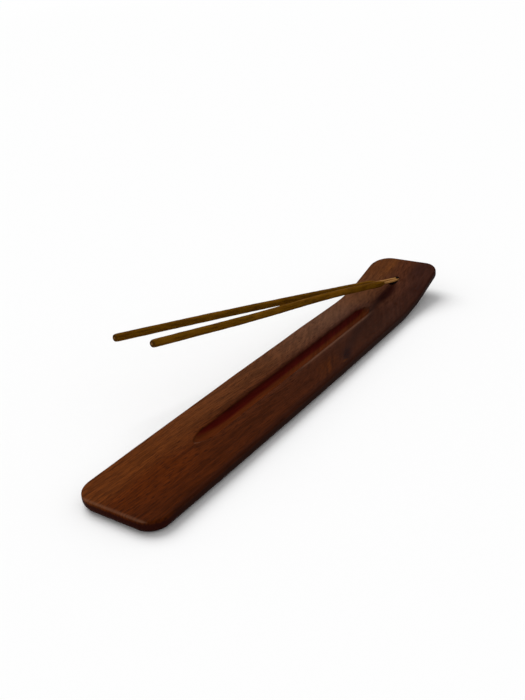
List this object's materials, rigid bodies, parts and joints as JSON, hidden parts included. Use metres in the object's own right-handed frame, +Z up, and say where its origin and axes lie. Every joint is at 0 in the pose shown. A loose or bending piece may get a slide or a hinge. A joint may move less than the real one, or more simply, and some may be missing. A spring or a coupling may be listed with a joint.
{
  "type": "incense burner",
  "caption": "Flat carved hardwood incense holder with one upturned end, an ash groove and a slanting hole that holds thin incense sticks over the groove.",
  "frame": {"origin": "centre of the flat underside that the holder rests on", "axes": "+X along the strip to its raised end, +Y to its left side seen from the low end, +Z up"},
  "size_m": [0.2519, 0.0662, 0.0396],
  "materials": {
    "hardwood": "oiled satin, dark reddish brown rosewood figure",
    "bamboo": "raw split bamboo",
    "incense_paste": "matt, dry rolled powder paste"
  },
  "bodies": {
    "holder": {"holder_board": "hardwood"},
    "stick_a": {"stick_a_core": "bamboo", "stick_a_paste": "incense_paste"},
    "stick_b": {"stick_b_core": "bamboo", "stick_b_paste": "incense_paste"}
  },
  "joints": [
    {"name": "stick_a_pull", "type": "slide", "parent": "holder", "child": "stick_a", "axis": [-0.9599, 0.2423, 0.1409], "range_m": [0, 0.04]},
    {"name": "stick_b_pull", "type": "slide", "parent": "holder", "child": "stick_b", "axis": [-0.9771, 0.146, 0.1547], "range_m": [0, 0.04]}
  ]
}
